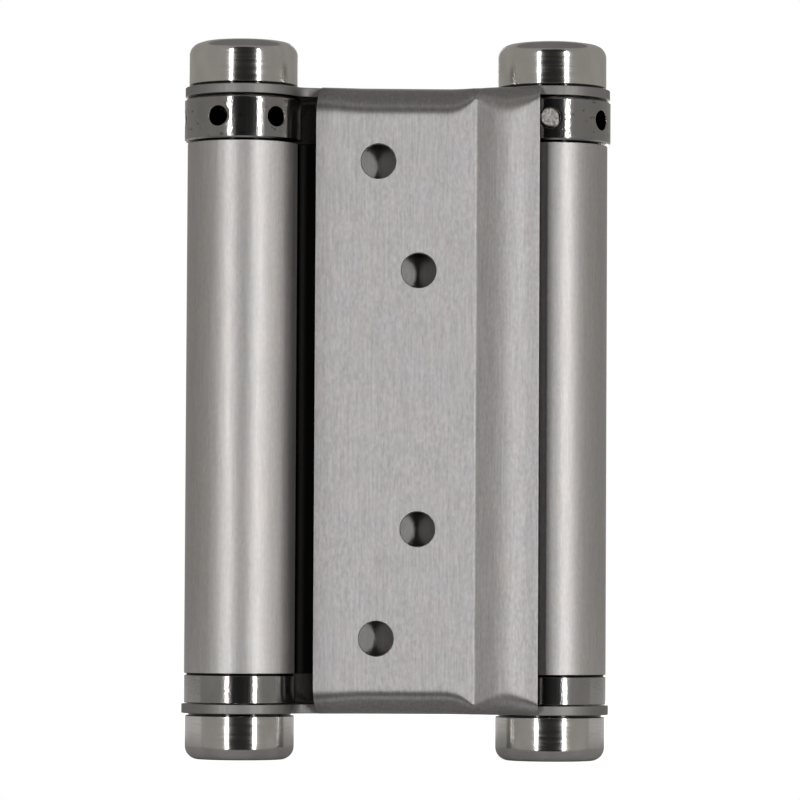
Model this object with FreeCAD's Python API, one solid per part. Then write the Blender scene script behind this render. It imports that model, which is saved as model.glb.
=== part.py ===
"""Double action cafe hinge: two pressed flanges on one double spring barrel.

Millimetres, +Z up, origin in the middle of the hinge. The front flange faces -Y and turns on the right
barrel. The rear flange is the same pressing turned half round, so it turns on the left barrel.
"""
import FreeCAD
import Part
import math
import os

V = FreeCAD.Vector
UP = V(0, 0, 1)

# Driving dimensions: the flange pressing
flange_height = 100.0        # over the two folded lugs
flange_sheet = 1.5
plate_depth = 5.9            # from the plane of the barrel axes to the outer face of a screw plate
plate_end = 13.2             # from the middle of the hinge to the free edge of a screw plate
fold_radius = 3.0            # outside radius where the sheet folds into a lug
strip_depth = 2.9            # depth of the folded strip at the free edge of the plate
corner_slant = 0.38          # the folded strip steps back this much per millimetre of depth at its free end
crease_radius = 0.8          # inside the crease between plate and lip
ramp_angle = 46.0            # slope of the lip where it leaves the plate
lip_radius = 10.5            # outside radius of the lip's curl
lip_inset = 2.8              # the curl's centre stands this far short of the barrel axis
lip_stop = 2.55              # the lip's free edge stops this far short of the barrel axis
ring_proud = 0.4             # the lugs' rings stand this far outside the tubes
lug_fillet = 3.0             # between the ring and the arm
lug_gap = 0.6                # between the front and the rear lugs
screw_hole_radius = 2.75
outer_screw_x = -3.2
outer_screw_height = 38.0
inner_screw_x = 3.3
inner_screw_height = 20.6

# Driving dimensions: the barrels and the turned pieces
barrel_spacing = 49.6        # between the two barrel axes
barrel_radius = 8.9
barrel_sheet = 1.2
web_bend_radius = 2.0        # middle of the sheet, where the web turns into a tube
web_tilt = 5.0               # degrees the web leans out of the plane of the axes, its right end to the rear
collar_proud = 0.5           # the collars stand this far outside the tubes
collar_height = 7.0
collar_chamfer = 0.5
collar_spigot = 4.0          # length of the spigot inside the tube
hole_count = 6
hole_radius = 1.6
hole_depth = 4.0
left_collar_turn = 40.0      # degrees the left collar is wound past its lip
plug_height = 4.7
plug_spigot = 5.0
edge_chamfer = 0.25
pintle_radius = 3.0
cap_step = 0.2               # the caps stand this far inside the tubes' outline
cap_height = 7.35
cap_edge_radius = 1.45
cap_chamfer = 0.3
cap_bore_depth = 5.0
pin_radius = 1.45
pin_reach = 1.4              # a stop pin stands this far out of its collar
wire_radius = 1.2
spring_coils = 22
tang_depth = 3.0             # of the spring's straight ends in the collar and the plug

# Clearances
running_clearance = 0.05     # pintle in its bearings
seat_clearance = 0.02        # pieces pressed together
spigot_clearance = 0.2       # collar spigot in the tube
end_gap = 0.15               # collar and plug to the lugs
tube_gap = 0.3               # collar to the tube
lip_clearance = 0.3          # collar to the inside of the lip, at the curl's front
stop_clearance = 0.08        # stop pin to the lip's free edge
seam_gap = 0.3               # end of the rolled sheet to the web
spring_gap = 0.1             # spring to the spigots
spring_core_gap = 1.3        # spring to the pintle, room for the coil to tighten
tang_clearance = 0.2

# Places that follow from the dimensions
axis_x = barrel_spacing / 2
lug_radius = barrel_radius + ring_proud
collar_radius = barrel_radius + collar_proud
cap_radius = barrel_radius - cap_step
pin_tip = collar_radius + pin_reach
lug_top = flange_height / 2
lug_bottom = lug_top - flange_sheet
collar_top = lug_bottom - end_gap
collar_bottom = collar_top - collar_height
collar_middle = (collar_top + collar_bottom) / 2
spigot_bottom = collar_bottom - collar_spigot
tube_top = collar_bottom - tube_gap
plug_bottom = -collar_top
tube_bottom = plug_bottom + plug_height
plug_top = tube_bottom + plug_spigot
tube_bore = barrel_radius - barrel_sheet
lip_edge = axis_x - lip_stop
lip_centre = V(axis_x - lip_inset, lip_radius - flange_sheet - collar_radius - lip_clearance, 0)
lug_slope = (plate_depth - strip_depth - lug_gap / 2) / plate_end
spring_radius = pintle_radius + spring_core_gap + wire_radius
tang_x = spring_radius
pin_offset = lip_stop - stop_clearance - pin_radius
right_pin_angle = -math.degrees(math.asin(pin_offset / pin_tip))
left_pin_angle = 180 + right_pin_angle + left_collar_turn
margin = 5.0


def heading(angle):
    """Unit vector in plan, turned from the viewer's side (-Y) toward +X."""
    turn = math.radians(angle)
    return V(math.sin(turn), -math.cos(turn), 0)


def cylinder(radius, bottom, top, x=0.0):
    return Part.makeCylinder(radius, top - bottom, V(x, 0, bottom))


def prism(edges, bottom, top):
    """Upright solid on a closed plan outline."""
    face = Part.Face(Part.Wire(edges))
    face.translate(V(0, 0, bottom))
    return face.extrude(V(0, 0, top - bottom))


def polygon(points):
    return Part.makePolygon(points + [points[0]]).Edges


def half_turned(shape):
    """Copy of a shape turned half round the hinge's middle."""
    return shape.rotated(V(0, 0, 0), UP, 180)


# Flange

def front_line(inset):
    """Plan edges of the pressing from plate to lip, this far inside its outer face."""
    slope = math.radians(ramp_angle)
    inward = V(math.sin(slope), math.cos(slope), 0)
    half_inward = V(math.sin(slope / 2), math.cos(slope / 2), 0)
    rise = (lip_centre.y + plate_depth + crease_radius) * inward.y
    crease_x = lip_centre.x - (lip_radius + crease_radius - rise) / inward.x
    crease_centre = V(crease_x, -plate_depth - crease_radius, 0)
    bend = crease_radius + inset
    curl = lip_radius - inset
    plate_start = V(-plate_end - margin, inset - plate_depth, 0)
    plate_stop = crease_centre + V(0, bend, 0)
    ramp_start = crease_centre + inward * bend
    ramp_stop = lip_centre - inward * curl
    crease = Part.Arc(plate_stop, crease_centre + half_inward * bend, ramp_start)
    lip = Part.Arc(ramp_stop, lip_centre + heading(0) * curl, lip_centre + heading(20) * curl)
    return [
        Part.LineSegment(plate_start, plate_stop).toShape(),
        crease.toShape(),
        Part.LineSegment(ramp_start, ramp_stop).toShape(),
        lip.toShape(),
    ]


def pressed_block(inset, height, fold):
    """Block behind the front line, with its top and bottom front edges rounded."""
    front = front_line(inset)
    start = front[0].Vertexes[0].Point
    stop = front[-1].Vertexes[-1].Point
    back = barrel_spacing + inset
    corners = [stop, V(stop.x, back, 0), V(start.x - inset, back, 0), V(start.x - inset, start.y, 0), start]
    sides = Part.makePolygon(corners).Edges
    block = prism(front + sides, -height / 2, height / 2)
    rounded = []
    for edge in block.Edges:
        middle = edge.valueAt((edge.FirstParameter + edge.LastParameter) / 2)
        plan = Part.Vertex(middle.x, middle.y, 0)
        level = abs(abs(middle.z) - height / 2) < 0.01
        if level and min(plan.distToShape(line)[0] for line in front) < 0.01:
            rounded.append(edge)
    return block.makeFillet(fold, rounded)


def lug_plan():
    """Plan outline of the pressing: in front of the slanting lug edge and short of the lip's free edge."""
    front = -plate_depth - lip_radius
    return polygon([
        V(-plate_end, front, 0),
        V(lip_edge, front, 0),
        V(lip_edge, lug_slope * lip_edge - lug_gap / 2, 0),
        V(-plate_end, -lug_slope * plate_end - lug_gap / 2, 0),
    ])


def arm_fillet():
    """Plan outline that rounds the corner between the arm's slanting edge and the ring."""
    slant = math.atan(lug_slope)
    along = V(math.cos(slant), math.sin(slant), 0)
    away = V(-math.sin(slant), math.cos(slant), 0)
    base = V(0, -lug_gap / 2, 0)
    axis = V(axis_x, 0, 0)
    reach = lug_radius + lug_fillet
    height = lug_fillet - (axis - base).dot(away)
    run = (axis - base).dot(along) - math.sqrt(reach ** 2 - height ** 2)
    edge_point = base + along * run
    centre = edge_point + away * lug_fillet
    ring_point = axis + (centre - axis) * (lug_radius / reach)
    toward = (edge_point - centre) + (ring_point - centre)
    middle = centre + toward * (lug_fillet / toward.Length)
    return [
        Part.Arc(edge_point, middle, ring_point).toShape(),
        Part.LineSegment(ring_point, axis).toShape(),
        Part.LineSegment(axis, edge_point).toShape(),
    ]


def fold_corner():
    """Plan outline cut from the free end of the folded strip."""
    return polygon([
        V(-plate_end - margin, -plate_depth, 0),
        V(-plate_end, -plate_depth, 0),
        V(-plate_end + corner_slant * plate_depth, 0, 0),
        V(-plate_end - margin, 0, 0),
    ])


def front_flange():
    outer = pressed_block(0, flange_height, fold_radius)
    inner = pressed_block(flange_sheet, flange_height - 2 * flange_sheet, fold_radius - flange_sheet)
    pressing = prism(lug_plan(), -lug_top - margin, lug_top + margin)
    flange = outer.cut(inner).common(pressing)
    for bottom, top in ((lug_bottom, lug_top), (-lug_top, -lug_bottom)):
        ring = cylinder(lug_radius, bottom, top, axis_x).cut(pressing)
        flange = flange.fuse([ring, prism(arm_fillet(), bottom, top)])
    flange = flange.removeSplitter()
    for bottom, top in ((lug_top - fold_radius, lug_top), (-lug_top, -lug_top + fold_radius)):
        flange = flange.cut(prism(fold_corner(), bottom, top))
    flange = flange.cut(cylinder(pintle_radius + running_clearance, -lug_top, lug_top, axis_x))
    for x, height in ((outer_screw_x, outer_screw_height), (inner_screw_x, inner_screw_height)):
        for z in (height, -height):
            start = V(x, -plate_depth - margin, z)
            flange = flange.cut(Part.makeCylinder(screw_hole_radius, 2 * margin, start, V(0, 1, 0)))
    return flange


# Double barrel

def ring_sector(centre, middle_radius, start, stop):
    """Plan edges of a bent strip of the barrel sheet between two polar angles."""
    half = barrel_sheet / 2
    corners = []
    for radius in (middle_radius - half, middle_radius + half):
        for angle in (start, (start + stop) / 2, stop):
            corners.append(centre + V(radius * math.cos(angle), radius * math.sin(angle), 0))
    return [
        Part.Arc(*corners[:3]).toShape(),
        Part.LineSegment(corners[2], corners[5]).toShape(),
        Part.Arc(*corners[3:]).toShape(),
        Part.LineSegment(corners[3], corners[0]).toShape(),
    ]


def double_barrel():
    """One sheet: the web turns aside at each end and rolls round into a tube that closes on the web."""
    tilt = math.radians(web_tilt)
    along = V(math.cos(tilt), math.sin(tilt), 0)
    aside = V(-math.sin(tilt), math.cos(tilt), 0)
    middle = barrel_radius - barrel_sheet / 2
    reach = middle + web_bend_radius
    drop = web_bend_radius - axis_x * along.y
    web_end = axis_x * along.x - math.sqrt(reach ** 2 - drop ** 2)
    lean = math.asin(drop / reach) + tilt
    stand_off = web_bend_radius + barrel_sheet / 2 + seam_gap
    seam = math.acos((reach ** 2 + barrel_radius ** 2 - stand_off ** 2) / (2 * reach * barrel_radius)) - lean
    end = along * web_end
    half_sheet = aside * (barrel_sheet / 2)
    web = polygon([-end - half_sheet, end - half_sheet, end + half_sheet, -end + half_sheet])
    bend_centre = end - aside * web_bend_radius
    bend = ring_sector(bend_centre, web_bend_radius, lean, math.pi / 2 + tilt)
    tube = ring_sector(V(axis_x, 0, 0), middle, math.pi + lean, 3 * math.pi - seam)
    right = [prism(outline, tube_bottom, tube_top) for outline in (bend, tube)]
    left = [half_turned(shape) for shape in right]
    return prism(web, tube_bottom, tube_top).fuse(right + left).removeSplitter()


# Turned pieces on one barrel axis

def rim_edges(shape, radius, level):
    """Circular edges of a turned shape at one radius and height."""
    found = []
    for edge in shape.Edges:
        if not isinstance(edge.Curve, Part.Circle):
            continue
        if abs(edge.Curve.Radius - radius) < 0.001 and abs(edge.Curve.Center.z - level) < 0.001:
            found.append(edge)
    return found


def adjusting_collar(x, pin_angle):
    collar = cylinder(collar_radius, collar_bottom, collar_top)
    collar = collar.makeChamfer(collar_chamfer, rim_edges(collar, collar_radius, collar_top))
    collar = collar.makeChamfer(edge_chamfer, rim_edges(collar, collar_radius, collar_bottom))
    collar = collar.fuse(cylinder(tube_bore - spigot_clearance, spigot_bottom, collar_bottom)).removeSplitter()
    collar = collar.cut(cylinder(pintle_radius + running_clearance, spigot_bottom, collar_top))
    for number in range(hole_count):
        outward = heading(pin_angle + number * 360 / hole_count)
        floor = outward * (collar_radius - hole_depth) + V(0, 0, collar_middle)
        collar = collar.cut(Part.makeCylinder(hole_radius, hole_depth + 1, floor, outward))
    tang_top = spigot_bottom + tang_depth + tang_clearance
    collar = collar.cut(cylinder(wire_radius + tang_clearance, spigot_bottom, tang_top, tang_x))
    return collar.translated(V(x, 0, 0))


def stop_pin(x, pin_angle):
    outward = heading(pin_angle)
    start = collar_radius - hole_depth + seat_clearance
    pin = Part.makeCylinder(pin_radius, pin_tip - start, outward * start + V(0, 0, collar_middle), outward)
    return pin.translated(V(x, 0, 0))


def bottom_plug(x):
    plug = cylinder(barrel_radius, plug_bottom, tube_bottom)
    for level in (plug_bottom, tube_bottom):
        plug = plug.makeChamfer(edge_chamfer, rim_edges(plug, barrel_radius, level))
    plug = plug.fuse(cylinder(tube_bore - seat_clearance, tube_bottom, plug_top)).removeSplitter()
    plug = plug.cut(cylinder(pintle_radius + running_clearance, plug_bottom, plug_top))
    tang_bottom = plug_top - tang_depth - tang_clearance
    plug = plug.cut(cylinder(wire_radius + tang_clearance, tang_bottom, plug_top, tang_x))
    return plug.translated(V(x, 0, 0))


def torsion_spring(x):
    """Right-hand coil that tightens as its flange opens, with a straight end up and one down."""
    low = plug_top + spring_gap + wire_radius
    high = spigot_bottom - spring_gap - wire_radius
    coil_path = Part.Wire(Part.makeLongHelix((high - low) / spring_coils, high - low, spring_radius).Edges)
    section = Part.Wire(Part.makeCircle(wire_radius, V(spring_radius, 0, 0), V(0, 1, 0)))
    coil = coil_path.makePipeShell([section], True, True)
    coil.translate(V(0, 0, low))
    elbow = wire_radius + seat_clearance
    lower_end = cylinder(wire_radius, plug_top - tang_depth, low, tang_x)
    upper_end = cylinder(wire_radius, high, spigot_bottom + tang_depth, tang_x)
    bends = [Part.makeSphere(elbow, V(tang_x, 0, level)) for level in (low, high)]
    return coil.fuse([lower_end, upper_end] + bends).translated(V(x, 0, 0))


def pintle(x):
    reach = lug_top + cap_bore_depth
    return cylinder(pintle_radius, -reach, reach, x)


def top_cap(x):
    top = lug_top + cap_height
    cap = cylinder(cap_radius, lug_top, top)
    cap = cap.makeFillet(cap_edge_radius, rim_edges(cap, cap_radius, top))
    cap = cap.makeChamfer(cap_chamfer, rim_edges(cap, cap_radius, lug_top))
    bore = cylinder(pintle_radius + seat_clearance, lug_top, lug_top + cap_bore_depth)
    return cap.cut(bore).translated(V(x, 0, 0))


def bottom_cap(x):
    return top_cap(x).rotated(V(x, 0, 0), V(0, 1, 0), 180)


def build():
    flange = front_flange()
    parts = {
        "front_flange": flange,
        "rear_flange": half_turned(flange),
        "double_barrel": double_barrel(),
    }
    for side, x, pin_angle in (("left", -axis_x, left_pin_angle), ("right", axis_x, right_pin_angle)):
        parts[side + "_adjusting_collar"] = adjusting_collar(x, pin_angle)
        parts[side + "_stop_pin"] = stop_pin(x, pin_angle)
        parts[side + "_bottom_plug"] = bottom_plug(x)
        parts[side + "_spring"] = torsion_spring(x)
        parts[side + "_pintle"] = pintle(x)
        parts[side + "_top_cap"] = top_cap(x)
        parts[side + "_bottom_cap"] = bottom_cap(x)
    return parts


os.makedirs("parts", exist_ok=True)
for name, shape in build().items():
    shape.exportStep("parts/" + name + ".step")
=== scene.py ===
import math

import bmesh
import bpy
from mathutils import Matrix, Vector
from mathutils.noise import noise


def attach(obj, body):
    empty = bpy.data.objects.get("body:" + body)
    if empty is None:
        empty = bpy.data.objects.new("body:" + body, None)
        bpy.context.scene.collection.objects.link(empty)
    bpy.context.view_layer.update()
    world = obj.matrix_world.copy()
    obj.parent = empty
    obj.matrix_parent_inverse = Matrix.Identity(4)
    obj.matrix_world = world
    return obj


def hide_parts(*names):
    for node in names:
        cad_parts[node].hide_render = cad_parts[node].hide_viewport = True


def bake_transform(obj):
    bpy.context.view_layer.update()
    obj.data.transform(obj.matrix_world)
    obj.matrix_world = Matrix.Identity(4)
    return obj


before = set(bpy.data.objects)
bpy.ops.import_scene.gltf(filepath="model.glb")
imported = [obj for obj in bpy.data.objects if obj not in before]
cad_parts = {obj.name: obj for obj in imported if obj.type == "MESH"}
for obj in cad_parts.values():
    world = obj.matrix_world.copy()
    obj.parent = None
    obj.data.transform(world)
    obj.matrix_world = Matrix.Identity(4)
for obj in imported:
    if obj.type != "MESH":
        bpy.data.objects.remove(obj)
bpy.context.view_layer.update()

# Double barrel: one strip of stainless sheet, bent aside at each end of a flat web and rolled into a tube.
# Each tube closes on the web with a fine open seam. The sheet is brushed along the tubes to a satin.
MM = 0.001
barrel_axis = 24.8
barrel_radius = 8.9
barrel_sheet = 1.2
barrel_bottom = -43.65
barrel_top = 41.05
web_bend = 2.0               # middle of the sheet
web_tilt = math.radians(5)
seam_gap = 0.3
tube_steps = 120
bend_steps = 10
eased_edge = 0.12            # rounding of sharp edges
satin_colour = (0.502, 0.488, 0.475)
web_colour = (0.32, 0.31, 0.3)
lip_shadow_line = 22.9              # middle of the painted shadow that the lip's edge casts beside it
painted_light_line = -18.2          # middle of the painted light on a tube's side, where it turns to the web


def put_in_scene(name, data):
    """Object of a mesh, lamp or lens, linked to the scene."""
    thing = bpy.data.objects.new(name, data)
    bpy.context.scene.collection.objects.link(thing)
    return thing


def new_piece(name, points, faces, finishes=()):
    """Object at the origin from points in millimetres, with its doubles merged and its faces outward.

    The finishes number each face's material slot; without them every face has the first.
    """
    doubles_within = 0.001
    mesh = bpy.data.meshes.new(name)
    mesh.from_pydata([Vector(point) * MM for point in points], [], faces)
    if finishes:
        mesh.polygons.foreach_set("material_index", finishes)
    shape = bmesh.new()
    shape.from_mesh(mesh)
    bmesh.ops.remove_doubles(shape, verts=shape.verts, dist=doubles_within * MM)
    bmesh.ops.recalc_face_normals(shape, faces=shape.faces)
    shape.to_mesh(mesh)
    shape.free()
    return put_in_scene(name, mesh)


def keep_evaluated(piece):
    """Turns what a piece's modifiers give into its own plain mesh."""
    shown = piece.evaluated_get(bpy.context.evaluated_depsgraph_get())
    piece.data = bpy.data.meshes.new_from_object(shown)
    piece.modifiers.clear()


def finish_metal(piece, materials, edge=0.0, cutters=()):
    """Dresses a metal piece, eases its sharp edges, cuts its holes and evens its shading."""
    eased_from = math.radians(40)
    sharp_from = math.radians(38)
    for material in materials:
        piece.data.materials.append(material)
    if edge:
        ease = piece.modifiers.new("eased edges", "BEVEL")
        ease.width = edge * MM
        ease.segments = 3
        ease.angle_limit = eased_from
        ease.use_clamp_overlap = False
    for cutter in cutters:
        hole = piece.modifiers.new("hole", "BOOLEAN")
        hole.object = cutter
        hole.solver = "EXACT"
    keep_evaluated(piece)
    for cutter in cutters:
        bpy.data.objects.remove(cutter)
    piece.data.shade_smooth()
    piece.data.set_sharp_from_angle(angle=sharp_from)
    even = piece.modifiers.new("even shading", "WEIGHTED_NORMAL")
    even.keep_sharp = True
    keep_evaluated(piece)


def feed(tree, node, inputs):
    """Gives a node its inputs, each a plain value or another node's output, and returns its outputs."""
    for name, value in inputs.items():
        if isinstance(value, bpy.types.NodeSocket):
            tree.links.new(value, node.inputs[name])
        else:
            node.inputs[name].default_value = value
    return node.outputs


def add_node(tree, kind, inputs):
    """Outputs of a new node with these inputs."""
    return feed(tree, tree.nodes.new(kind), inputs)


def drawn_lines(tree, across, along):
    """Noise drawn out along the barrels, of these lengths in millimetres."""
    place = tree.nodes.new("ShaderNodeTexCoord").outputs["Object"]
    scale = [1 / (length * MM) for length in (across, across, along)]
    stretched = add_node(tree, "ShaderNodeMapping", {"Vector": place, "Scale": scale})["Vector"]
    return add_node(tree, "ShaderNodeTexNoise", {"Vector": stretched, "Scale": 1.0, "Detail": 3.0})["Fac"]


def ramp(tree, value, start, stop, low, high, course="LINEAR"):
    """Number that runs from low to high while the value goes from start to stop."""
    node = tree.nodes.new("ShaderNodeMapRange")
    node.interpolation_type = course
    ends = {"From Min": start, "From Max": stop, "To Min": low, "To Max": high}
    return feed(tree, node, {"Value": value, **ends})["Result"]


def spread(tree, pattern, low, high):
    """The pattern's usual range widened to run from low to high."""
    usual_low = 0.3
    usual_high = 0.7
    return ramp(tree, pattern, usual_low, usual_high, low, high)


def mixed(tree, factor, first, second):
    """Colour between two colours, each a colour or another node's output."""
    blend = tree.nodes.new("ShaderNodeMix")
    blend.data_type = "RGBA"
    ends = [(*colour, 1) if isinstance(colour, tuple) else colour for colour in (first, second)]
    return feed(tree, blend, {"Factor": factor, 6: ends[0], 7: ends[1]})[2]


def shade_of(colour, amount):
    return tuple(channel * amount for channel in colour)


def shaded(tree, pattern, colour, low, high):
    """The colour in shades from low to high as the pattern goes."""
    return mixed(tree, spread(tree, pattern, 0, 1), shade_of(colour, low), shade_of(colour, high))


def relief(tree, pattern, depth, under=None):
    """Surface direction after a pattern this deep in millimetres, which may lie over another relief."""
    inputs = {"Height": pattern, "Strength": 1.0, "Distance": depth * MM}
    if under is not None:
        inputs["Normal"] = under
    return add_node(tree, "ShaderNodeBump", inputs)["Normal"]


def reckon(tree, operation, *values):
    """Result of arithmetic on one or more values, each a number or another node's output."""
    node = tree.nodes.new("ShaderNodeMath")
    node.operation = operation
    return feed(tree, node, dict(enumerate(values)))["Value"]


def reckon_vector(tree, operation, inputs):
    node = tree.nodes.new("ShaderNodeVectorMath")
    node.operation = operation
    return feed(tree, node, inputs)["Vector"]


def bare_metal(name):
    """New metal without a colour or polish yet, with its node tree and its surface."""
    material = bpy.data.materials.new(name)
    material.use_nodes = True
    tree = material.node_tree
    surface = tree.nodes["Principled BSDF"]
    surface.inputs["Metallic"].default_value = 1.0
    return material, tree, surface


def brushed_steel(name, colour, roughness, contrast, spread_along=0.9):
    """Stainless brushed along the barrels: short fine lines, longer streaks and a faint cloudiness."""
    roughness_swing = 0.015
    line_depth = 0.0008
    warm_tint = (1.02, 1, 0.99)
    cool_tint = (0.985, 0.99, 1.01)
    brush_way = (0, 0.03, 1)     # a little off the barrels' way, so that level faces have a grain too
    material, tree, surface = bare_metal(name)
    lines = drawn_lines(tree, across=0.36, along=0.9)
    drags = drawn_lines(tree, across=0.33, along=7)
    streaks = drawn_lines(tree, across=0.9, along=40)
    cloud = drawn_lines(tree, across=7, along=12)
    patches = drawn_lines(tree, across=5, along=6)
    lined = shaded(tree, lines, colour, 1 - contrast, 1 + contrast)
    dragged = shaded(tree, drags, colour, 1 - contrast, 1 + contrast)
    clouded = mixed(tree, spread(tree, cloud, 0.25, 0.65), lined, dragged)
    tint = mixed(tree, spread(tree, patches, 0, 1), warm_tint, cool_tint)
    facing = tree.nodes.new("ShaderNodeNewGeometry").outputs["Normal"]
    feed(tree, surface, {
        "Anisotropic": spread_along,
        "Base Color": reckon_vector(tree, "MULTIPLY", {0: clouded, 1: tint}),
        "Roughness": spread(tree, streaks, roughness - roughness_swing, roughness + roughness_swing),
        "Normal": relief(tree, lines, line_depth),
        "Tangent": reckon_vector(tree, "CROSS_PRODUCT", {0: facing, 1: brush_way}),
    })
    return material


def object_axes(tree):
    place = tree.nodes.new("ShaderNodeTexCoord").outputs["Object"]
    return add_node(tree, "ShaderNodeSeparateXYZ", {"Vector": place})


def half_turn_x(tree):
    """Distance along the hinge; the rear is the front turned round and has the same distances."""
    axes = object_axes(tree)
    facing = reckon(tree, "SIGN", axes["Y"])
    return reckon(tree, "MULTIPLY", reckon(tree, "MULTIPLY", axes["X"], facing), -1.0)


def beside(tree, line):
    """Distance to either side of an upright line, which stands alike on the front and the rear."""
    return reckon(tree, "ABSOLUTE", reckon(tree, "SUBTRACT", half_turn_x(tree), line * MM))


def tone(material, distance, plain_at, full_at, share):
    """Changes a metal's colour to a share of itself between two distances in millimetres.

    A share under one darkens and one over it brightens; here that is painted shade and painted light, and
    the collars' dark nicks of wear.
    """
    tree = material.node_tree
    colour = tree.nodes["Principled BSDF"].inputs["Base Color"]
    amount = ramp(tree, distance, plain_at * MM, full_at * MM, 1.0, share, "SMOOTHSTEP")
    plain = colour.links[0].from_socket
    tree.links.new(reckon_vector(tree, "SCALE", {"Vector": plain, "Scale": amount}), colour)


def paint_lip_shadow(material):
    """Painted shadow that the lip's edge casts on the round pieces beside it."""
    tone(material, beside(material.node_tree, lip_shadow_line), plain_at=2.0, full_at=0.5, share=0.3)


def strip_line():
    """Plan points down the middle of the rolled strip, each with the direction of its left-hand side."""
    along = Vector((math.cos(web_tilt), math.sin(web_tilt)))
    aside = Vector((-along.y, along.x))
    middle = barrel_radius - barrel_sheet / 2
    reach = middle + web_bend
    drop = web_bend - barrel_axis * along.y
    web_end = barrel_axis * along.x - math.sqrt(reach ** 2 - drop ** 2)
    lean = math.asin(drop / reach) + web_tilt
    stand_off = web_bend + barrel_sheet / 2 + seam_gap
    seam = math.acos((reach ** 2 + barrel_radius ** 2 - stand_off ** 2) / (2 * reach * barrel_radius)) - lean
    bend_centre = along * web_end - aside * web_bend
    right = []
    for step in range(bend_steps + 1):
        turn = math.pi / 2 + web_tilt + (lean - math.pi / 2 - web_tilt) * step / bend_steps
        side = Vector((math.cos(turn), math.sin(turn)))
        right.append((bend_centre + side * web_bend, side))
    for step in range(1, tube_steps + 1):
        turn = math.pi + lean + (2 * math.pi - seam - lean) * step / tube_steps
        outward = Vector((math.cos(turn), math.sin(turn)))
        right.append((Vector((barrel_axis, 0)) + outward * middle, -outward))
    left = [(-point, side) for point, side in reversed(right)]
    return left + right


def rolled_strip(name):
    """The strip's mesh; the first finish is for the outsides of the tubes, the second for the rest."""
    close = 0.01
    points = []
    faces = []
    line = strip_line()
    for point, side in line:
        for edge in (point + side * barrel_sheet / 2, point - side * barrel_sheet / 2):
            for height in (barrel_bottom, barrel_top):
                points.append((edge.x, edge.y, height))
    for step in range(len(line) - 1):
        low_left, top_left, low_right, top_right = range(4 * step, 4 * step + 4)
        faces.append((low_left, low_left + 4, top_left + 4, top_left))
        faces.append((low_right, top_right, top_right + 4, low_right + 4))
        faces.append((top_left, top_left + 4, top_right + 4, top_right))
        faces.append((low_left, low_right, low_right + 4, low_left + 4))
    last = 4 * (len(line) - 1)
    faces.append((0, 1, 3, 2))
    faces.append((last, last + 2, last + 3, last + 1))
    finishes = []
    for face in faces:
        spread_out = [math.hypot(abs(points[corner][0]) - barrel_axis, points[corner][1]) for corner in face]
        on_tube = all(abs(radius - barrel_radius) < close for radius in spread_out)
        finishes.append(0 if on_tube else 1)
    return new_piece(name, points, faces, finishes)


satin_steel = brushed_steel("satin_steel", satin_colour, roughness=0.305, contrast=0.11)
# On the tubes: painted shadow beside the lip's edge, and painted light on the side that turns to the web.
paint_lip_shadow(satin_steel)
tone(satin_steel, beside(satin_steel.node_tree, painted_light_line), plain_at=4.0, full_at=1.3, share=1.5)
# The web is darker than the tubes, and towards its bends it is painted almost black: painted shade in the
# narrow gap between each tube and the plate.
web_with_painted_shade = brushed_steel("web_with_painted_shade", web_colour, roughness=0.29, contrast=0.11)
from_middle = reckon(web_with_painted_shade.node_tree, "ABSOLUTE", object_axes(web_with_painted_shade.node_tree)["X"])
tone(web_with_painted_shade, from_middle, plain_at=9.5, full_at=12.5, share=0.02)
double_barrel = rolled_strip("rolled_double_barrel")
finish_metal(double_barrel, [satin_steel, web_with_painted_shade], edge=eased_edge)
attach(double_barrel, "barrels")
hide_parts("double_barrel")

# Bottom plugs: turned steel, pressed up into the foot of each tube so that a plain polished rim shows.
# A socket in the spigot holds the spring's lower end, and the pintle runs in the bore.
plug_bottom = -48.35
plug_spigot_top = -38.65
plug_spigot_radius = 7.68
bore_radius = 3.05
socket_radius = 1.4
socket_depth = 3.2
spring_radius = 5.5
plug_groove = 0.3            # height of the groove turned under the tube
plug_groove_radius = 8.55
polished_colour = (0.36, 0.351, 0.342)
rim_shade = 1.12             # the plugs' rims are this much brighter than the collars'
cutter_overshoot = 1.0
turning_steps = 144
sides = {"left": -barrel_axis, "right": barrel_axis}


def turned(name, outline, place):
    """Piece turned on its own axis from half its outline, given as (radius, height) points."""
    points = []
    faces = []
    count = len(outline)
    rows = count - 1 if outline[0][0] == 0 else count
    for step in range(turning_steps):
        turn = 2 * math.pi * step / turning_steps
        for radius, height in outline:
            points.append(place @ Vector((radius * math.cos(turn), radius * math.sin(turn), height)))
        first = step * count
        second = (step + 1) % turning_steps * count
        for row in range(rows):
            above = (row + 1) % count
            faces.append((first + row, second + row, second + above, first + above))
    return new_piece(name, points, faces)


def rod_outline(radius, low, high):
    return [(0, low), (radius, low), (radius, high), (0, high)]


def on_axis(x):
    return Matrix.Translation((x, 0, 0))


def scratched_steel(name, colour, roughness, wear, dent_depth, round_marks=False):
    """Polished steel with faint marks drawn along it or turned round it, small dents and smears."""
    mark_depth = 0.0025
    material, tree, surface = bare_metal(name)
    marks = drawn_lines(tree, across=6, along=0.3) if round_marks else drawn_lines(tree, across=0.3, along=9)
    smears = drawn_lines(tree, across=3, along=5)
    dents = drawn_lines(tree, across=0.3, along=0.4)
    feed(tree, surface, {
        "Base Color": shaded(tree, smears, colour, 0.92, 1.08),
        "Roughness": spread(tree, marks, roughness, roughness + wear),
        "Normal": relief(tree, dents, dent_depth, under=relief(tree, marks, mark_depth)),
    })
    return material


def slant_length(tree, first, second):
    """Length of the slant between two distances at right angles."""
    squares = [reckon(tree, "POWER", side, 2.0) for side in (first, second)]
    return reckon(tree, "SQRT", reckon(tree, "ADD", *squares))


def off_axis(tree):
    """Distance from the nearer barrel axis."""
    axes = object_axes(tree)
    sideways = reckon(tree, "SUBTRACT", reckon(tree, "ABSOLUTE", axes["X"]), barrel_axis * MM)
    return slant_length(tree, sideways, axes["Y"])


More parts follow.
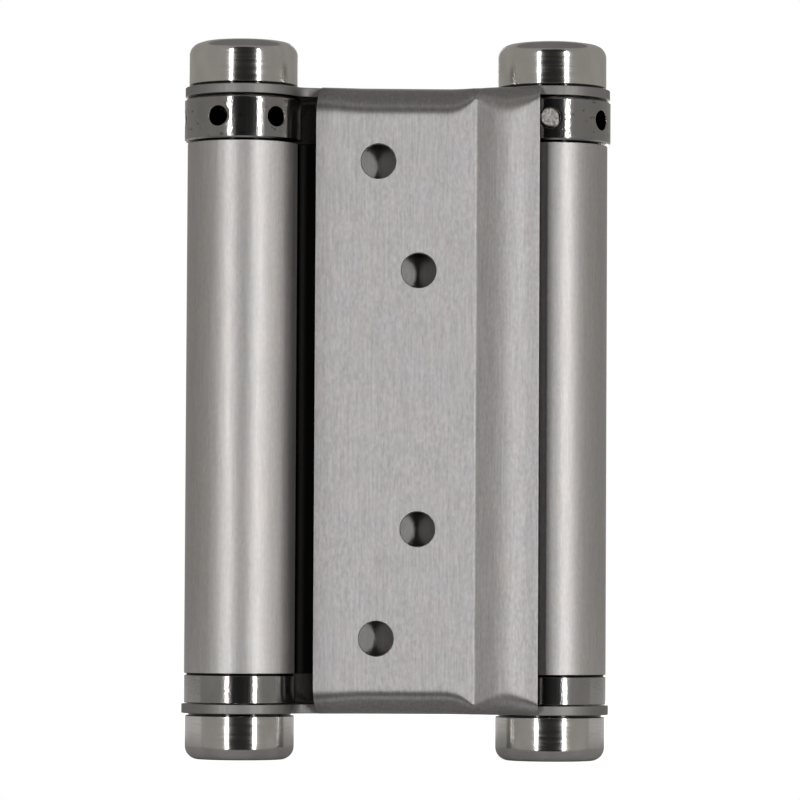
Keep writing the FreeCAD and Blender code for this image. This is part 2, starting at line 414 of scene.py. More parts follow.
rim_colour = shade_of(polished_colour, rim_shade)
polished_rim = scratched_steel("polished_rim", rim_colour, roughness=0.1, wear=0.06, dent_depth=0.012)
# Painted shade in the plugs' groove under the tube and on their tops inside it, and the painted shadow of
# the lip's edge.
tone(polished_rim, off_axis(polished_rim.node_tree), plain_at=8.85, full_at=8.7, share=0.06)
paint_lip_shadow(polished_rim)
plug_outline = [
    (bore_radius, plug_bottom),
    (barrel_radius, plug_bottom),
    (barrel_radius, barrel_bottom - plug_groove),
    (plug_groove_radius, barrel_bottom - plug_groove),
    (plug_groove_radius, barrel_bottom),
    (plug_spigot_radius, barrel_bottom),
    (plug_spigot_radius, plug_spigot_top),
    (bore_radius, plug_spigot_top),
]
plug_socket = rod_outline(socket_radius, plug_spigot_top - socket_depth, plug_spigot_top + cutter_overshoot)
for side, x in sides.items():
    plug = turned(side + "_plug", plug_outline, on_axis(x))
    socket = turned("spring_socket", plug_socket, on_axis(x + spring_radius))
    finish_metal(plug, [polished_rim], edge=eased_edge, cutters=[socket])
    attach(plug, "barrels")
    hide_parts(side + "_bottom_plug")

# Springs: oiled spring wire, wound right-handed with a straight leg at each end.
# One leg stands in the bottom plug and the other in the adjusting collar, round the pintle.
wire_radius = 1.2
spring_turns = 22
spring_low = -37.35
spring_high = 36.05
leg_length = 4.3
coil_steps = 40              # in each turn
wire_sides = 14
wire_colour = (0.32, 0.31, 0.3)
wire_sharp_from = math.radians(50)
leaves = {"left": "rear_leaf", "right": "front_leaf"}     # the leaf that turns on each barrel


def start_tree(name, inputs, result):
    """Geometry nodes tree with these named inputs and one result, and the outputs that give the inputs."""
    tree = bpy.data.node_groups.new(name, "GeometryNodeTree")
    for label, kind in inputs.items():
        tree.interface.new_socket(label, in_out="INPUT", socket_type="NodeSocket" + kind)
    tree.interface.new_socket(result, in_out="OUTPUT", socket_type="NodeSocketGeometry")
    return tree, tree.nodes.new("NodeGroupInput").outputs


def end_tree(tree, geometry, material, result):
    """Dresses the geometry in its material and hands it out as the tree's result."""
    dressed = add_node(tree, "GeometryNodeSetMaterial", {"Geometry": geometry, "Material": material})
    add_node(tree, "NodeGroupOutput", {result: dressed["Geometry"]})


def spring_tree():
    """Geometry nodes: a coil with two straight legs, swept with round wire."""
    tree, given = start_tree("wound_spring", {
        "Coil Radius": "Float",
        "Wire Radius": "Float",
        "Turns": "Float",
        "Height": "Float",
        "Leg Length": "Float",
        "Base": "Vector",
        "Material": "Material",
    }, "Spring")
    coil = add_node(tree, "GeometryNodeCurveSpiral", {
        "Resolution": coil_steps,
        "Reverse": True,
        "Rotations": given["Turns"],
        "Start Radius": given["Coil Radius"],
        "End Radius": given["Coil Radius"],
        "Height": given["Height"],
    })
    to_legs = (0, 0, -math.pi / 2)
    facing_legs = add_node(tree, "GeometryNodeTransform", {"Geometry": coil["Curve"], "Rotation": to_legs})
    joined = tree.nodes.new("GeometryNodeJoinGeometry")
    feed(tree, joined, {"Geometry": facing_legs["Geometry"]})
    bottom_end = add_node(tree, "ShaderNodeCombineXYZ", {"X": given["Coil Radius"]})
    top_end = add_node(tree, "ShaderNodeCombineXYZ", {"X": given["Coil Radius"], "Z": given["Height"]})
    for end, direction in ((bottom_end, (0, 0, -1)), (top_end, (0, 0, 1))):
        leg = tree.nodes.new("GeometryNodeCurvePrimitiveLine")
        leg.mode = "DIRECTION"
        feed(tree, leg, {"Start": end["Vector"], "Direction": direction, "Length": given["Leg Length"]})
        feed(tree, joined, {"Geometry": leg.outputs["Curve"]})
    wire = add_node(tree, "GeometryNodeCurvePrimitiveCircle", {
        "Resolution": wire_sides,
        "Radius": given["Wire Radius"],
    })
    swept = add_node(tree, "GeometryNodeCurveToMesh", {
        "Curve": joined.outputs["Geometry"],
        "Profile Curve": wire["Curve"],
        "Fill Caps": True,
    })
    lifted = add_node(tree, "GeometryNodeTransform", {
        "Geometry": swept["Mesh"],
        "Translation": given["Base"],
    })
    real = add_node(tree, "GeometryNodeRealizeInstances", {"Geometry": lifted["Geometry"]})
    end_tree(tree, real["Geometry"], given["Material"], "Spring")
    return tree


def grow(piece, tree, sizes):
    """Runs a geometry nodes tree on a piece with these named sizes and keeps the result."""
    maker = piece.modifiers.new(tree.name, "NODES")
    maker.node_group = tree
    for socket in tree.interface.items_tree:
        if socket.name in sizes:
            maker[socket.identifier] = sizes[socket.name]
    keep_evaluated(piece)


def oiled_wire(name, colour):
    """Spring wire with a thin film of oil and darker drawn streaks."""
    material, tree, surface = bare_metal(name)
    film = drawn_lines(tree, across=1.5, along=1.5)
    feed(tree, surface, {
        "Coat Weight": 0.3,
        "Base Color": shaded(tree, film, colour, 0.75, 1.15),
        "Roughness": spread(tree, film, 0.25, 0.42),
    })
    return material


spring_wire = oiled_wire("oiled_spring_wire", wire_colour)
wound_spring = spring_tree()
for side, x in sides.items():
    spring = new_piece(side + "_coil", [], [])
    grow(spring, wound_spring, {
        "Coil Radius": spring_radius * MM,
        "Wire Radius": wire_radius * MM,
        "Turns": float(spring_turns),
        "Height": (spring_high - spring_low) * MM,
        "Leg Length": leg_length * MM,
        "Base": (x * MM, 0, spring_low * MM),
        "Material": spring_wire,
    })
    spring.data.shade_smooth()
    spring.data.set_sharp_from_angle(angle=wire_sharp_from)
    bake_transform(spring)
    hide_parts(side + "_spring")

# Adjusting collars: turned and polished steel with six holes round the rim, running in the top of each tube.
# A bar in a hole winds the spring, then the stop pin goes in beside the flange's lip to hold it.
collar_radius = 9.4
collar_top = 48.35
collar_bottom = 41.35
collar_middle = (collar_top + collar_bottom) / 2
collar_chamfer = 0.5
collar_foot = 0.25
collar_spigot_radius = 7.5
collar_spigot_bottom = 37.35
hole_count = 6
hole_radius = 1.6
hole_floor = 5.4             # from the collar's axis
hole_floor_edge = 0.15
hole_lip = 0.13              # rounding at the mouth
lip_rings = 3
pin_angles = {"left": 214.58, "right": -5.42}     # from the viewer's side toward +X
sector_columns = 24
sector_rows = 12
patch_rings = 7
patch_crowding = 0.8         # under one, the rings of the rim's face stand closer at the hole
sectors_weld = 0.002
square_corners = ((-1, -1), (1, -1), (1, 1), (-1, 1))


def sector_frame():
    """Points round the rim face of one sector, as (turn, height) from its middle, corners included."""
    half_turn = math.pi / hole_count
    half_height = (collar_top - collar_chamfer - collar_bottom - 2 * collar_foot) / 2
    corners = [(x * half_turn, z * half_height) for x, z in square_corners]
    edge = []
    for number, start in enumerate(corners):
        stop = corners[(number + 1) % len(corners)]
        count = sector_rows if number % 2 else sector_columns
        for step in range(count):
            edge.append(tuple(here + (there - here) * step / count for here, there in zip(start, stop)))
    return edge


def collar_sector():
    """One sixth of a collar about its own axis, with its hole facing the viewer's side."""
    points = []
    faces = []
    frame_points = sector_frame()
    count = len(frame_points)

    def add_ring(ring):
        points.extend(ring)
        start = len(points) - count
        if start:
            for step in range(count):
                after = (step + 1) % count
                faces.append((start - count + step, start - count + after, start + after, start + step))

    def around(turn, radius, height):
        return (radius * math.sin(turn), -radius * math.cos(turn), height)

    bearings = [math.atan2(height, turn * collar_radius) for turn, height in frame_points]
    mouth_radius = hole_radius + hole_lip
    mouth = [
        (math.asin(mouth_radius * math.cos(bearing) / collar_radius), mouth_radius * math.sin(bearing))
        for bearing in bearings
    ]
    for ring in range(patch_rings + 1):
        share = (ring / patch_rings) ** patch_crowding
        add_ring([
            around(
                edge[0] + (inner[0] - edge[0]) * share,
                collar_radius,
                collar_middle + (edge[1] + (inner[1] - edge[1]) * share),
            )
            for edge, inner in zip(frame_points, mouth)
        ])
    for step in range(1, lip_rings + 1):
        bend = math.pi / 2 * step / lip_rings
        radius = hole_radius + hole_lip * (1 - math.sin(bend))
        depth = hole_lip * (1 - math.cos(bend))
        add_ring([
            (radius * math.cos(bearing),
             depth - math.sqrt(collar_radius ** 2 - (radius * math.cos(bearing)) ** 2),
             collar_middle + radius * math.sin(bearing))
            for bearing in bearings
        ])
    hole_end = [
        (hole_radius, hole_floor + hole_floor_edge),
        (hole_radius - hole_floor_edge, hole_floor),
        (0, hole_floor),
    ]
    for radius, depth in hole_end:
        add_ring([
            (radius * math.cos(bearing), -depth, collar_middle + radius * math.sin(bearing))
            for bearing in bearings
        ])

    outline = [
        (collar_radius, collar_top - collar_chamfer),
        (collar_radius - collar_chamfer, collar_top),
        (bore_radius, collar_top),
        (bore_radius, collar_spigot_bottom),
        (collar_spigot_radius, collar_spigot_bottom),
        (collar_spigot_radius, collar_bottom),
        (collar_radius - collar_foot, collar_bottom),
        (collar_radius, collar_bottom + collar_foot),
        (collar_radius, collar_bottom + 2 * collar_foot),
    ]
    length = len(outline)
    start = len(points)
    for step in range(sector_columns + 1):
        turn = math.pi / hole_count * (2 * step / sector_columns - 1)
        points.extend(around(turn, radius, height) for radius, height in outline)
        if step:
            for corner in range(start + step * length, start + (step + 1) * length - 1):
                faces.append((corner, corner + 1, corner + 1 - length, corner - length))
    return points, faces


def collar_tree():
    """Geometry nodes: a sector repeated round its axis, turned to the pin, welded and set on its barrel."""
    tree, given = start_tree("drilled_collar", {
        "Sector": "Geometry",
        "Holes": "Int",
        "Pin Turn": "Float",
        "Axis": "Vector",
        "Material": "Material",
    }, "Collar")
    spots = add_node(tree, "GeometryNodePoints", {"Count": given["Holes"]})
    number = tree.nodes.new("GeometryNodeInputIndex").outputs["Index"]
    part = reckon(tree, "DIVIDE", number, given["Holes"])
    turn = reckon(tree, "MULTIPLY_ADD", part, 2 * math.pi, given["Pin Turn"])
    facing = add_node(tree, "FunctionNodeAxisAngleToRotation", {"Axis": (0, 0, 1), "Angle": turn})
    repeated = add_node(tree, "GeometryNodeInstanceOnPoints", {
        "Points": spots["Points"],
        "Instance": given["Sector"],
        "Rotation": facing["Rotation"],
    })
    real = add_node(tree, "GeometryNodeRealizeInstances", {"Geometry": repeated["Instances"]})
    welded = add_node(tree, "GeometryNodeMergeByDistance", {
        "Geometry": real["Geometry"],
        "Distance": sectors_weld * MM,
    })
    placed = add_node(tree, "GeometryNodeTransform", {
        "Geometry": welded["Geometry"],
        "Translation": given["Axis"],
    })
    end_tree(tree, placed["Geometry"], given["Material"], "Collar")
    return tree


worn_and_shaded_rim = scratched_steel("worn_and_shaded_rim", polished_colour, roughness=0.1, wear=0.06, dent_depth=0.014)
nicks = drawn_lines(worn_and_shaded_rim.node_tree, across=1.3, along=0.9)
tone(worn_and_shaded_rim, reckon(worn_and_shaded_rim.node_tree, "MULTIPLY", nicks, MM), plain_at=0.37, full_at=0.31, share=0.5)
# Painted shade on the collar's chamfer and foot, where it meets the lug above and the tube below, and the
# painted shadow of the lip's edge.
tone(worn_and_shaded_rim, off_axis(worn_and_shaded_rim.node_tree), plain_at=9.1, full_at=8.8, share=0.04)
paint_lip_shadow(worn_and_shaded_rim)
drilled_collar = collar_tree()
collar_socket = rod_outline(
    socket_radius,
    collar_spigot_bottom - cutter_overshoot,
    collar_spigot_bottom + socket_depth,
)
for side, x in sides.items():
    collar = new_piece(side + "_collar", *collar_sector())
    grow(collar, drilled_collar, {
        "Holes": hole_count,
        "Pin Turn": math.radians(pin_angles[side]),
        "Axis": (x * MM, 0, 0),
        "Material": worn_and_shaded_rim,
    })
    socket = turned("spring_socket", collar_socket, on_axis(x + spring_radius))
    finish_metal(collar, [], cutters=[socket])
    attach(collar, side + "_collar")
    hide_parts(side + "_adjusting_collar")

# Stop pins: short lengths of steel wire pushed into a rim hole, cropped with shears and left rough.
# The right one bears on the free edge of the front flange's lip; the left one stands behind the hinge.
pin_radius = 1.45
pin_start = 5.42             # from the collar's axis
pin_tip = 10.8
pin_rough = 0.14             # depth of the cropped end's unevenness
pin_rough_scale = 1.7
cropped_length = 0.25        # how far from the tip the shears roughened the pin
burr_reach = 0.4             # how far the shears' burr stands out at one side
burr_start = 0.85            # share of the radius where the burr begins
burr_power = 10              # a high power makes a narrow burr
burr_turn = math.radians(-50)
cropped_end = [              # share of the radius and distance from the tip
    (1, 0.35), (1, 0.2), (0.97, 0.1), (0.9, 0.03), (0.8, 0),
    (0.65, 0), (0.5, 0), (0.35, 0), (0.2, 0), (0, 0),
]
pin_outline = [(0, pin_start), (pin_radius, pin_start)]
pin_outline += [(pin_radius * share, pin_tip - back) for share, back in cropped_end]
pin_colour = (0.55, 0.53, 0.5)


def cropped_wire(name, colour):
    """Drawn wire, dull along its sides, with the torn grain of a cropped end."""
    torn_depth = 0.05
    material, tree, surface = bare_metal(name)
    torn = drawn_lines(tree, across=0.35, along=0.35)
    feed(tree, surface, {
        "Base Color": shaded(tree, torn, colour, 0.4, 1.3),
        "Roughness": spread(tree, torn, 0.4, 0.6),
        "Normal": relief(tree, torn, torn_depth),
    })
    return material


pin_steel = cropped_wire("cropped_wire", pin_colour)
for side, x in sides.items():
    facing = Matrix.Rotation(math.radians(pin_angles[side]), 4, "Z") @ Matrix.Rotation(math.pi / 2, 4, "X")
    seat = Matrix.Translation((x, 0, collar_middle)) @ facing
    pin = turned(side + "_cropped_pin", pin_outline, seat)
    outward = facing @ Vector((0, 0, 1))
    burr_way = facing @ Vector((math.cos(burr_turn), math.sin(burr_turn), 0))
    for vertex in pin.data.vertices:
        place = vertex.co / MM
        reach = (place - seat.translation).dot(outward)
        if reach < pin_tip - cropped_length:
            continue
        vertex.co -= outward * (pin_rough * (0.5 + 0.5 * noise(place * pin_rough_scale)) * MM)
        across = place - seat.translation - outward * reach
        if across.length > burr_start * pin_radius:
            lean = max(0.0, across.normalized().dot(burr_way)) ** burr_power
            vertex.co += across.normalized() * (burr_reach * lean * MM)
    finish_metal(pin, [pin_steel])
    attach(pin, side + "_collar")
    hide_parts(side + "_stop_pin")

# Flanges: two like pressings of brushed stainless sheet, a flat plate with a lip that curls over a barrel.
# The top and bottom of each are folded in, and the folds run out into lugs whose eyes turn on the pintle.
flange_half = 50.0
flange_sheet = 1.5
plate_depth = 5.9
plate_end = 13.2
crease_radius = 0.8
ramp_angle = math.radians(46)
lip_radius = 10.5
lip_centre = Vector((22.0, -0.7))
lip_edge = 22.25
ring_radius = 9.3
arm_fillet = 3.0
arm_slope = 2.7 / plate_end
arm_gap = 0.3                # from the hinge's middle line to the arm's slanting edge
end_slant = 0.38             # lean of the folded strip's free end
end_slant_reach = 3.0        # how far along the plate that lean fades out
screw_hole_radius = 2.75
screw_places = [(-3.2, 38.0), (3.3, 20.6), (3.3, -20.6), (-3.2, -38.0)]
fold_rises = {1: 5.2, -1: 4.4}    # height of the bend on the plate, at the top and at the bottom
plate_fold = 4.1             # depth of the bend on the plate
crease_fold = 2.2
lip_fold = 3.9
lip_rise = 1.3               # height of the bend on the lip, against the plate's
edge_rise = 0.45
lip_edge_fold = 2.26
strip_flat = 0.35            # least flat left on the folded strip behind its bend
bulge_middle = 0.52          # where the lip's bend is fullest, as a share of the way to its edge
bulge_power = 1.3
bulge_slowness = 0.35
fold_rows = 14
middle_start = -6.0          # the plate's columns of faces stand wider in its middle
middle_stop = 7.5            # from here to the crease the plate's bend draws in
draw_in_power = 2.2
end_columns = 14
middle_columns = 8
crease_columns = 12
crease_steps = 8
lip_steps = 40
ring_steps = 100
fillet_steps = 10
brushed_colour = (0.502, 0.488, 0.488)
sheared_colour = (0.34, 0.33, 0.32)


def level_direction(turn):
    return Vector((math.sin(turn), math.cos(turn)))


def end_lean(x):
    """Share of the free end's lean that is left at this place along the plate."""
    return max(0.0, 1 - (x + plate_end) / end_slant_reach)


def arm_depth(x):
    """Depth from the plate's face back to the arm's slanting edge."""
    return (plate_depth - arm_gap + arm_slope * x) / (1 - arm_slope * end_slant * end_lean(x))


def plate_bend(x):
    """Depth of the fold along the flat plate, its height against the plate's full one and its slowness."""
    near_crease = max(0.0, (x - middle_stop) / (crease_start.x - middle_stop)) ** draw_in_power
    eased = plate_fold + (crease_fold - plate_fold) * near_crease
    return min(eased, arm_depth(x) - strip_flat), 1 + (edge_rise - 1) * near_crease, 1.0


def pressing_line():
    """Columns from the plate's free edge to the lip's: plan point, inward direction and fold."""
    columns = []
    spaces = [
        (-plate_end, middle_start, end_columns),
        (middle_start, middle_stop, middle_columns),
        (middle_stop, crease_start.x, crease_columns),
    ]
    for start, stop, count in spaces:
        for step in range(count):
            x = start + (stop - start) * step / count
            columns.append((Vector((x, -plate_depth)), Vector((0, 1)), plate_bend(x)))
    for step in range(crease_steps + 1):
        inward = level_direction(ramp_angle * step / crease_steps)
        columns.append((crease_centre + inward * crease_radius, inward, (crease_fold, edge_rise, 1.0)))
    inward = level_direction(ramp_angle)
    ramp_start = crease_centre + inward * crease_radius
    ramp_stop = lip_centre - inward * lip_radius
    ramp_length = (ramp_stop - ramp_start).length
    edge_turn = math.asin((lip_edge - lip_centre.x) / lip_radius)
    whole_length = ramp_length + (ramp_angle + edge_turn) * lip_radius
    for step in range(1, lip_steps + 1):
        run = whole_length * step / lip_steps
        share = run / whole_length
        bulge = max(0.0, 1 - abs(2 * share - 2 * bulge_middle) ** bulge_power)
        ends = crease_fold + (lip_edge_fold - crease_fold) * share
        rise = edge_rise + (lip_rise - edge_rise) * bulge
        fold = (ends + (lip_fold - ends) * bulge, rise, 1 + bulge_slowness * bulge)
        if run < ramp_length:
            columns.append((ramp_start + (ramp_stop - ramp_start) * run / ramp_length, inward, fold))
        else:
            toward = level_direction(ramp_angle - (run - ramp_length) / lip_radius)
            columns.append((lip_centre - toward * lip_radius, toward, fold))
    return columns


def arc(centre, radius, start, stop, count):
    """Plan points round part of a circle, without the first."""
    points = []
    for step in range(1, count + 1):
        turn = start + (stop - start) * step / count
        points.append(centre + Vector((math.cos(turn), math.sin(turn))) * radius)
    return points


def lug_outline(first_corner, last_fold):
    """Plan points of a lug behind its fold: round the ring, the arm's fillet and along the slanting edge."""
    slant = math.atan(arm_slope)
    along = Vector((math.cos(slant), math.sin(slant)))
    away = Vector((-along.y, along.x))
    base = Vector((0, -arm_gap))
    axis = Vector((barrel_axis, 0))
    reach = ring_radius + arm_fillet
    height = arm_fillet - (axis - base).dot(away)
    run = (axis - base).dot(along) - math.sqrt(reach ** 2 - height ** 2)
    fillet_centre = base + along * run + away * arm_fillet
    ring_start = math.atan2(last_fold.y, last_fold.x - barrel_axis)
    ring_stop = math.atan2(fillet_centre.y, fillet_centre.x - barrel_axis)
    ring = arc(axis, ring_radius, ring_start, ring_stop, ring_steps)
    fillet = arc(fillet_centre, arm_fillet, ring_stop - math.pi, slant - math.pi / 2, fillet_steps)
    return ring + fillet + [first_corner]


def sheet_layer(columns, outline, inset):
    """Points of the sheet's face at this inset: the top's fold and lug, then the bottom's."""
    layer = []
    for face in (1, -1):
        for row in range(fold_rows + 1):
            turn = math.pi / 2 * row / fold_rows
            for point, inward, (depth, rise_share, slowness) in columns:
                rise = fold_rises[face] * rise_share
                offset = inset + (depth - inset) * (1 - math.cos(turn)) ** slowness
                height = flange_half - rise + (rise - inset) * math.sin(turn)
                spot = point + inward * offset
                layer.append((spot.x + end_slant * offset * end_lean(point.x), spot.y, face * height))
        for spot in outline:
            layer.append((spot.x, spot.y, face * (flange_half - inset)))
    return layer


def layer_faces(width, half_layer):
    """Faces of a layer: each half's fold and lug, then the plate, ramp and lip between the halves."""
    faces = []
    for half in (0, half_layer):
        for row in range(fold_rows):
            for column in range(width - 1):
                low = half + row * width + column
                faces.append((low, low + 1, low + 1 + width, low + width))
        faces.append(tuple(range(half + fold_rows * width, half + half_layer)))
    plate_columns = end_columns + middle_columns + crease_columns
    plate_top = list(range(plate_columns + 1))
    faces.append(tuple(plate_top + [half_layer + column for column in reversed(plate_top)]))
    for column in range(plate_columns, width - 1):
        faces.append((column, column + 1, half_layer + column + 1, half_layer + column))
    return faces


def pressed_sheet(name, half_turn):
    """The flange's sheet before its holes; the lugs' sheared edges have the second finish."""
    columns = pressing_line()
    corner_depth = arm_depth(-plate_end)
    corner = Vector((-plate_end + end_slant * corner_depth, -plate_depth + corner_depth))
    edge_point, edge_inward, edge_fold = columns[-1]
    outline = lug_outline(corner, edge_point + edge_inward * edge_fold[0])
    outer = sheet_layer(columns, outline, 0)
    inner = sheet_layer(columns, outline, flange_sheet)
    count = len(outer)
    sheet = layer_faces(len(columns), count // 2)
    uses = {}
    for face in sheet:
        for start, stop in zip(face, face[1:] + face[:1]):
            pair = (min(start, stop), max(start, stop))
            uses[pair] = uses.get(pair, 0) + 1
    faces = sheet + [tuple(count + index for index in reversed(face)) for face in sheet]
    border = [pair for pair, used in uses.items() if used == 1]
    rim = [(start, stop, stop + count, start + count) for start, stop in border]
    finishes = [0] * len(faces)
    close = 0.01
    lug_level = flange_half - close
    for start, stop, _, _ in rim:
        finishes.append(1 if min(abs(outer[start][2]), abs(outer[stop][2])) > lug_level else 0)
    turn = -1 if half_turn else 1
    points = [(turn * x, turn * y, z) for x, y, z in outer + inner]
    return new_piece(name, points, faces + rim, finishes)


def flange_cutters(half_turn):
    """Cutters for the four screw holes and for the eyes of the lugs."""
    front = plate_depth
    back = plate_depth - flange_sheet
    mouth = screw_hole_radius + eased_edge
    screw_outline = [
        (0, back - cutter_overshoot),
        (mouth + cutter_overshoot, back - cutter_overshoot),
        (mouth, back),
        (screw_hole_radius, back + eased_edge),
        (screw_hole_radius, front - eased_edge),
        (mouth, front),
        (mouth + cutter_overshoot, front + cutter_overshoot),
        (0, front + cutter_overshoot),
    ]
    eye_end = flange_half + cutter_overshoot
    about = Matrix.Rotation(math.pi if half_turn else 0, 4, "Z")
    facing = Matrix.Rotation(math.pi / 2, 4, "X")
    cutters = [turned("eye", rod_outline(bore_radius, -eye_end, eye_end), about @ on_axis(barrel_axis))]
    for x, height in screw_places:
        place = about @ Matrix.Translation((x, 0, height)) @ facing
        cutters.append(turned("screw_hole", screw_outline, place))
    for cutter in cutters:
        for material in flange_finishes:
            cutter.data.materials.append(material)
        cutter.data.polygons.foreach_set("material_index", [1] * len(cutter.data.polygons))
    return cutters


ramp_inward = level_direction(ramp_angle)
crease_rise = (lip_centre.y + plate_depth + crease_radius) * ramp_inward.y
crease_centre = Vector((
    lip_centre.x - (lip_radius + crease_radius - crease_rise) / ramp_inward.x,
    -plate_depth - crease_radius,
))
crease_start = crease_centre + Vector((0, crease_radius))
brushed_sheet = brushed_steel("brushed_sheet", brushed_colour, roughness=0.37, contrast=0.2)
# Painted shade on the plate towards its free edge beside the barrel.
tone(brushed_sheet, half_turn_x(brushed_sheet.node_tree), plain_at=-9.5, full_at=-13.5, share=0.8)
sheared_edge = scratched_steel("sheared_edge", sheared_colour, roughness=0.5, wear=0.1, dent_depth=0.02)
flange_finishes = [brushed_sheet, sheared_edge]
for name, node, body, half_turn in (
    ("front_pressing", "front_flange", "front_leaf", False),
    ("rear_pressing", "rear_flange", "rear_leaf", True),
):
    flange = pressed_sheet(name, half_turn)
    finish_metal(flange, flange_finishes, edge=eased_edge, cutters=flange_cutters(half_turn))
    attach(flange, body)
    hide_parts(node)

# Pintles: plain ground rods from cap to cap, through the lugs, the collar, the spring and the plug.
# Only slivers of them show between the pieces they hold together.
rod_colour = (0.52, 0.51, 0.5)
pintle_steel = brushed_steel("ground_rod", rod_colour, roughness=0.25, contrast=0.05, spread_along=0.5)
for side in sides:
    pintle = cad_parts[side + "_pintle"]
    for slot in pintle.material_slots:
        slot.material = pintle_steel

# Caps: turned buttons of polished steel, pressed on the pintle's ends over the lugs.
# The outer edge is well rounded and the base is stepped in; the step and a painted shade at the neck draw
# the dark line at the lug.
cap_radius = 8.7
cap_base = 50.0
cap_top = 57.35
cap_round = 2.1
cap_round_steps = 12
cap_neck = 0.5               # depth of the step turned at the base
cap_neck_top = cap_base + 0.35
cap_neck_shade_fade = 0.1         # how far the painted shade at the neck fades up the cap
cap_bore = 3.02
cap_bore_end = 55.0
cap_colour = (0.66, 0.644, 0.618)


def cap_outline():
    outline = [
        (0, cap_bore_end),
        (cap_bore, cap_bore_end),
        (cap_bore, cap_base),
        (cap_radius - cap_neck, cap_base),
        (cap_radius - cap_neck, cap_neck_top),
        (cap_radius - eased_edge, cap_neck_top),
        (cap_radius, cap_neck_top + eased_edge),
    ]
    for step in range(cap_round_steps + 1):
        turn = math.pi / 2 * step / cap_round_steps
        outline.append((
            cap_radius - cap_round * (1 - math.cos(turn)),
            cap_top - cap_round * (1 - math.sin(turn)),
        ))
    outline.append((0, cap_top))
    return outline


cap_steel = scratched_steel("polished_cap", cap_colour, 0.1, wear=0.07, dent_depth=0.004, round_marks=True)
# Painted shade at the neck, the dark line where the cap meets the lug.
cap_level = reckon(cap_steel.node_tree, "ABSOLUTE", object_axes(cap_steel.node_tree)["Z"])
tone(cap_steel, cap_level, plain_at=cap_neck_top + cap_neck_shade_fade, full_at=cap_neck_top, share=0.05)
for side, x in sides.items():
    for end, flip in (("top", 0), ("bottom", math.pi)):
        place = on_axis(x) @ Matrix.Rotation(flip, 4, "X")
        cap = turned(side + "_" + end + "_button", cap_outline(), place)
        finish_metal(cap, [cap_steel])
        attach(cap, leaves[side])
        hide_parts(side + "_" + end + "_cap")

# Studio: a pale table under the hinge, a grey surround, a dark card and two upright strip lamps before it,
# and two weaker lamps behind it. The card and the surround only show in the metal. The table and the world
# are white to the camera, and in the metal the table shows weaker and only away from the hinge.
table_level = -57.35
table_front = -12.5
table_reach = 800
table_grey = (0.75, 0.75, 0.75)
table_roughness = 0.9
table_glow = 0.88            # to the camera, with the light on the table this makes it white
table_in_metal = 0.3         # share of that glow in the metal
table_bare = 80              # no glow in the metal this close to the hinge's middle
table_full = 160             # and its full share from here
surround_radius = 900
surround_bottom = -700
surround_top = 1000
surround_panels = 24
ceiling_split = -300
strip_distance = 430.0       # of the lamps and of the card between them
card_half_width = 215
card_half_height = 385
strip_level = 10.0
strip_height = 430.0
strips = [                   # place sideways, place to the rear, width, power
    (-235.0, -strip_distance, 20.0, 0.57),
    (245.0, -strip_distance, 28.0, 0.67),
    (-75.0, strip_distance, 30.0, 0.06),
    (75.0, strip_distance, 30.0, 0.06),
]


def plain_emitter(name, colour, strength):
    """Stage material that gives an even light."""
    material = bpy.data.materials.new(name)
    material.use_nodes = True
    tree = material.node_tree
    tree.nodes.remove(tree.nodes["Principled BSDF"])
    glow = add_node(tree, "ShaderNodeEmission", {"Color": (*colour, 1), "Strength": strength})
    feed(tree, tree.nodes["Material Output"], {"Surface": glow["Emission"]})
    return material


def panel(name, corners, material, seen=False):
    """Flat stage piece that shows in reflections alone, unless it is seen."""
    mesh = bpy.data.meshes.new(name)
    mesh.from_pydata([Vector(corner) * MM for corner in corners], [], [tuple(range(len(corners)))])
    mesh.materials.append(material)
    piece = put_in_scene(name, mesh)
    piece.visible_camera = seen


def level_corners(reach, front, rear, level):
    return [(-reach, front, level), (reach, front, level), (reach, rear, level), (-reach, rear, level)]


def surround_wall(material):
    """Upright round wall about the hinge, drawn as flat panels."""
    ring = []
    for step in range(surround_panels + 1):
        turn = 2 * math.pi * step / surround_panels
        ring.append((surround_radius * math.cos(turn), surround_radius * math.sin(turn)))
    for first, second in zip(ring, ring[1:]):
        foot = [(*first, surround_bottom), (*second, surround_bottom)]
        head = [(*second, surround_top), (*first, surround_top)]
        panel("surround", foot + head, material)


def pale_table(name):
    """Plain pale surface, lifted to white for the camera and partly for the metal."""
    material = bpy.data.materials.new(name)
    material.use_nodes = True
    tree = material.node_tree
    rays = tree.nodes.new("ShaderNodeLightPath").outputs
    axes = object_axes(tree)
    outward = slant_length(tree, axes["X"], axes["Y"])
    away = ramp(tree, outward, table_bare * MM, table_full * MM, 0.0, table_in_metal, "SMOOTHSTEP")
    shining = reckon(tree, "MULTIPLY", rays["Is Glossy Ray"], away)
    shown = reckon(tree, "MAXIMUM", rays["Is Camera Ray"], shining)
    feed(tree, tree.nodes["Principled BSDF"], {
        "Base Color": (*table_grey, 1),
        "Roughness": table_roughness,
        "Emission Color": (1, 1, 1, 1),
        "Emission Strength": reckon(tree, "MULTIPLY", shown, table_glow),
    })
    return material


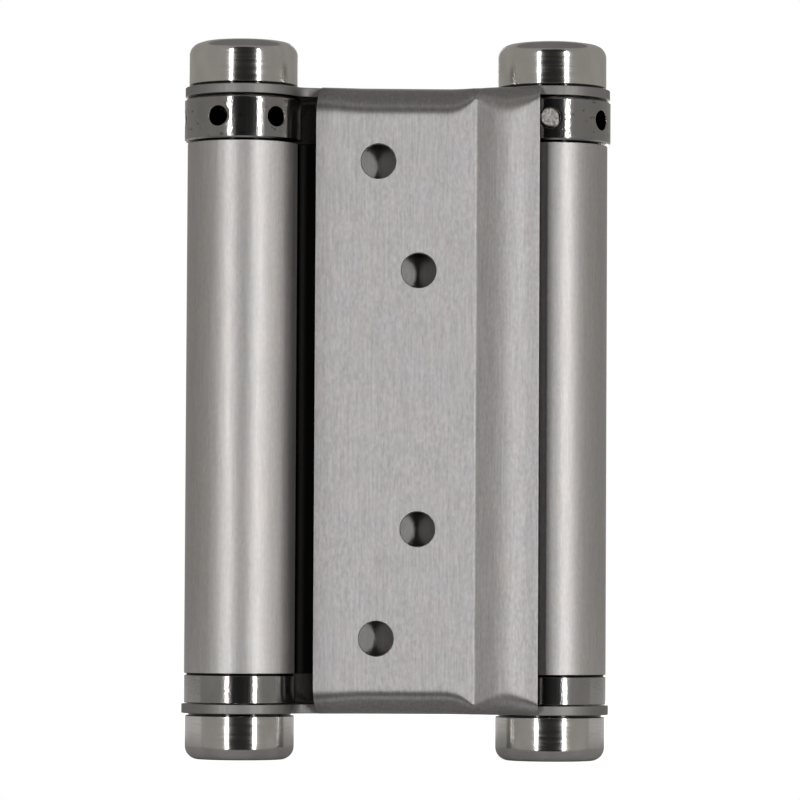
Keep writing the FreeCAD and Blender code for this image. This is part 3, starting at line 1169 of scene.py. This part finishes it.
surround_wall(plain_emitter("surround_grey", (1.0, 0.97, 0.92), 0.345))
card_corners = [(x * card_half_width, -strip_distance, z * card_half_height) for x, z in square_corners]
panel("dark_card", card_corners, plain_emitter("dark_card", (1.0, 0.98, 1.0), 0.025))
ceiling_grey = plain_emitter("ceiling_grey", (1.0, 0.98, 0.95), 0.2)
floor_grey = plain_emitter("floor_grey", (1.0, 0.99, 0.98), 0.4)
for name, front, rear, level, grey in (
    ("ceiling", ceiling_split, surround_radius, surround_top, ceiling_grey),
    ("front_ceiling", -surround_radius, ceiling_split, surround_top, ceiling_grey),
    ("front_floor", -surround_radius, 0, surround_bottom, floor_grey),
):
    panel(name, level_corners(surround_radius, front, rear, level), grey)
table_corners = level_corners(table_reach, table_front, table_reach, table_level)
panel("table", table_corners, pale_table("pale_table"), seen=True)

world = bpy.data.worlds.new("white_world")
world.use_nodes = True
bpy.context.scene.world = world
world_tree = world.node_tree
path = world_tree.nodes.new("ShaderNodeLightPath").outputs
shown = reckon(world_tree, "MAXIMUM", path["Is Camera Ray"], path["Is Glossy Ray"])
shown = reckon(world_tree, "MAXIMUM", shown, path["Is Transmission Ray"])
feed(world_tree, world_tree.nodes["Background"], {"Color": (1, 1, 1, 1), "Strength": shown})

for sideways, rearward, width, power in strips:
    lamp = bpy.data.lights.new("strip_lamp", "AREA")
    lamp.shape = "RECTANGLE"
    lamp.size = width * MM
    lamp.size_y = strip_height * MM
    lamp.energy = power
    holder = put_in_scene("strip_lamp", lamp)
    holder.visible_camera = False
    spot = Vector((sideways, rearward, strip_level))
    holder.location = spot * MM
    holder.rotation_mode = "QUATERNION"
    holder.rotation_quaternion = Vector((-spot.x, -spot.y, 0)).to_track_quat("-Z", "Y")

# Camera: a long lens a little left of the middle and below it, looking slightly up.
# Its place, turns and length are fitted to the hinge's outline in the photograph.
camera_place = Vector((-19.23, -753.94, -31.35))
camera_yaw = math.radians(1.505)
camera_pitch = math.radians(2.393)
camera_roll = math.radians(0.306)
lens = bpy.data.cameras.new("long_lens")
lens.sensor_width = 36.0
lens.lens = 211.94
camera = put_in_scene("camera", lens)
forward = Vector((
    math.sin(camera_yaw) * math.cos(camera_pitch),
    math.cos(camera_yaw) * math.cos(camera_pitch),
    math.sin(camera_pitch),
))
right = Vector((math.cos(camera_yaw), -math.sin(camera_yaw), 0))
up = right.cross(forward)
rolled_right = right * math.cos(camera_roll) + up * math.sin(camera_roll)
rolled_up = up * math.cos(camera_roll) - right * math.sin(camera_roll)
stance = Matrix((rolled_right, rolled_up, -forward)).transposed().to_4x4()
stance.translation = camera_place * MM
camera.matrix_world = stance
bpy.context.scene.camera = camera
bpy.context.scene.view_settings.view_transform = "Standard"
